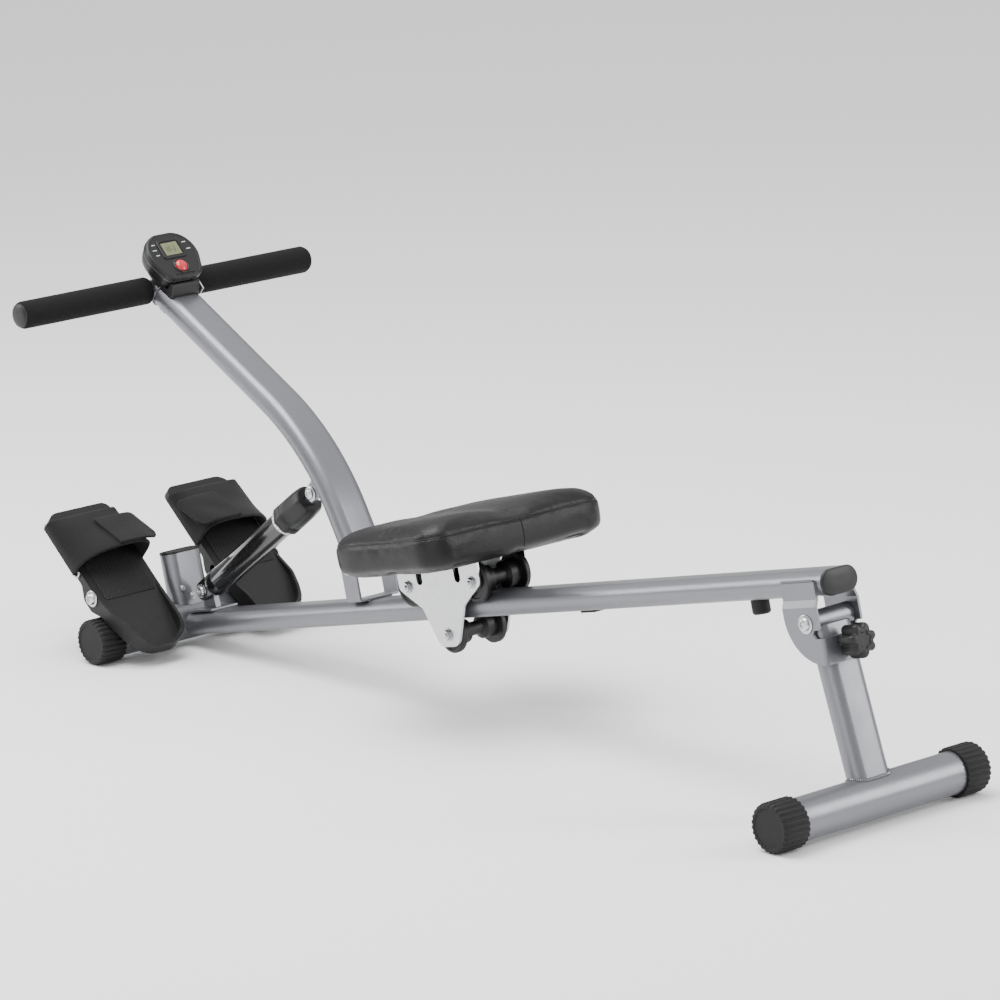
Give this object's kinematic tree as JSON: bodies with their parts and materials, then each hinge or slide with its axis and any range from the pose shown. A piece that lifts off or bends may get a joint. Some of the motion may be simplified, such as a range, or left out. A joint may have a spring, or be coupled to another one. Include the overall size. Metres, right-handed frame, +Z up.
{
  "type": "rowing machine",
  "caption": "Folding rowing machine: sliding padded seat on a sloping rail, swinging handle arm on a hydraulic cylinder, tilting foot plates.",
  "frame": {"origin": "on the floor under the middle of the machine's length", "axes": "+X towards the rear foot, +Y towards the seated rower's right, +Z up"},
  "size_m": [1.4082, 0.4692, 0.5412],
  "materials": {
    "silver_paint": "silver powder coat, satin",
    "zinc": "zinc plated",
    "chrome_rod": "polished",
    "black_enamel": "black gloss enamel",
    "rubber_black": "matt moulded",
    "foam_black": "closed-cell foam",
    "plastic_black": "moulded, fine texture",
    "vinyl_black": "black vinyl, soft sheen",
    "webbing_black": "woven webbing",
    "plywood": "raw plywood",
    "white_print": "printed scale",
    "red_plastic": "glossy dome",
    "display": "grey-green display window"
  },
  "bodies": {
    "frame": {"front_stabilizer_tube": "silver_paint", "front_cap_left": "rubber_black", "front_cap_right": "rubber_black", "main_rail": "silver_paint", "rail_end_cap": "plastic_black", "front_post": "silver_paint", "post_cap": "plastic_black", "front_stop_bumper": "rubber_black", "rear_stop_bumper": "rubber_black", "under_rail_pad": "rubber_black", "arm_pivot_bracket": "silver_paint", "arm_pivot_bolt": "zinc", "rear_leg_bracket": "silver_paint", "leg_pivot_bolt": "zinc", "cylinder_base_bracket": "silver_paint", "cylinder_base_bolt": "zinc", "pedal_axle": "zinc"},
    "rear_leg": {"leg_tube": "silver_paint", "leg_pivot_sleeve": "silver_paint", "rear_stabilizer_tube": "silver_paint", "rear_cap_left": "rubber_black", "rear_cap_right": "rubber_black"},
    "lock": {"lock_knob": "plastic_black", "lock_screw": "zinc"},
    "arm": {"arm_tube": "silver_paint", "arm_pivot_sleeve": "silver_paint", "handlebar_tube": "silver_paint", "grip_left": "foam_black", "grip_right": "foam_black", "grip_plug_left": "plastic_black", "grip_plug_right": "plastic_black", "console_housing": "plastic_black", "console_lens": "display", "console_bracket": "plastic_black", "sensor_plug": "plastic_black", "cylinder_ear": "silver_paint", "cylinder_ear_bolt": "zinc"},
    "reset_button_body": {"reset_button": "red_plastic"},
    "barrel": {"cylinder_barrel": "black_enamel", "scale_ring": "white_print"},
    "rod": {"piston_rod": "chrome_rod"},
    "resistance_dial": {"resistance_knob": "plastic_black"},
    "pedal_left_body": {"pedal_left": "plastic_black", "toe_strap_left": "webbing_black", "strap_flap_left": "webbing_black", "strap_ring_left": "zinc"},
    "pedal_right_body": {"pedal_right": "plastic_black", "toe_strap_right": "webbing_black", "strap_flap_right": "webbing_black", "strap_ring_right": "zinc"},
    "carriage": {"carriage_bracket": "zinc", "seat_board": "plywood", "seat_cushion": "vinyl_black", "roller_bolt_front": "zinc", "roller_bolt_rear": "zinc", "roller_bolt_lower": "zinc"},
    "front_roller": {"roller_front": "plastic_black"},
    "rear_roller": {"roller_rear": "plastic_black"},
    "lower_roller": {"roller_lower": "plastic_black"}
  },
  "joints": [
    {"name": "arm_swing", "type": "hinge", "parent": "frame", "child": "arm", "pos_m": [-0.2194, 0, 0.16525], "axis": [0, 1, 0], "range_deg": [0, 50]},
    {"name": "barrel_tilt", "type": "hinge", "parent": "frame", "child": "barrel", "pos_m": [-0.54868, 0, 0.07618], "axis": [0, 1, 0], "range_deg": [-1, 3.5]},
    {"name": "rod_slide", "type": "slide", "parent": "barrel", "child": "rod", "axis": [0.8208, 0, 0.5712], "range_m": [-0.0005, 0.1]},
    {"name": "resistance_turn", "type": "hinge", "parent": "barrel", "child": "resistance_dial", "pos_m": [-0.54868, 0, 0.07618], "axis": [0.8208, 0, 0.5712], "range_deg": [0, 330]},
    {"name": "rear_leg_fold", "type": "hinge", "parent": "frame", "child": "rear_leg", "pos_m": [0.6078, 0, 0.22918], "axis": [0, 1, 0], "range_deg": [0, 90]},
    {"name": "lock_turn", "type": "hinge", "parent": "frame", "child": "lock", "pos_m": [0.63707, 0, 0.20766], "axis": [0.9793, 0, 0.2026], "range_deg": [0, 720]},
    {"name": "seat_slide", "type": "slide", "parent": "frame", "child": "carriage", "axis": [-0.9793, 0, -0.2026], "range_m": [-0.503, 0]},
    {"name": "front_roller_spin", "type": "hinge", "parent": "carriage", "child": "front_roller", "pos_m": [-0.09243, 0, 0.16088], "axis": [0, 1, 0], "continuous": true},
    {"name": "rear_roller_spin", "type": "hinge", "parent": "carriage", "child": "rear_roller", "pos_m": [0.0287, 0, 0.18594], "axis": [0, 1, 0], "continuous": true},
    {"name": "lower_roller_spin", "type": "hinge", "parent": "carriage", "child": "lower_roller", "pos_m": [-0.0192, 0, 0.11221], "axis": [0, 1, 0], "continuous": true},
    {"name": "left_pedal_tilt", "type": "hinge", "parent": "frame", "child": "pedal_left_body", "pos_m": [-0.60258, 0, 0.08494], "axis": [0, -1, 0], "range_deg": [0, 35]},
    {"name": "right_pedal_tilt", "type": "hinge", "parent": "frame", "child": "pedal_right_body", "pos_m": [-0.60258, 0, 0.08494], "axis": [0, -1, 0], "range_deg": [0, 35]},
    {"name": "reset_press", "type": "slide", "parent": "arm", "child": "reset_button_body", "axis": [-0.7071, 0, -0.7071], "range_m": [0, 0.0015], "stiffness_N_per_m": 600, "springref_m": -0.0005}
  ],
  "couplings": [
    {"joint": "barrel_tilt", "follows": "arm_swing", "ratio": 0.05},
    {"joint": "rod_slide", "follows": "arm_swing", "m_per_rad": 0.1134},
    {"joint": "front_roller_spin", "follows": "seat_slide", "rad_per_m": -59.88},
    {"joint": "rear_roller_spin", "follows": "seat_slide", "rad_per_m": -59.88},
    {"joint": "lower_roller_spin", "follows": "seat_slide", "rad_per_m": 65.789}
  ]
}
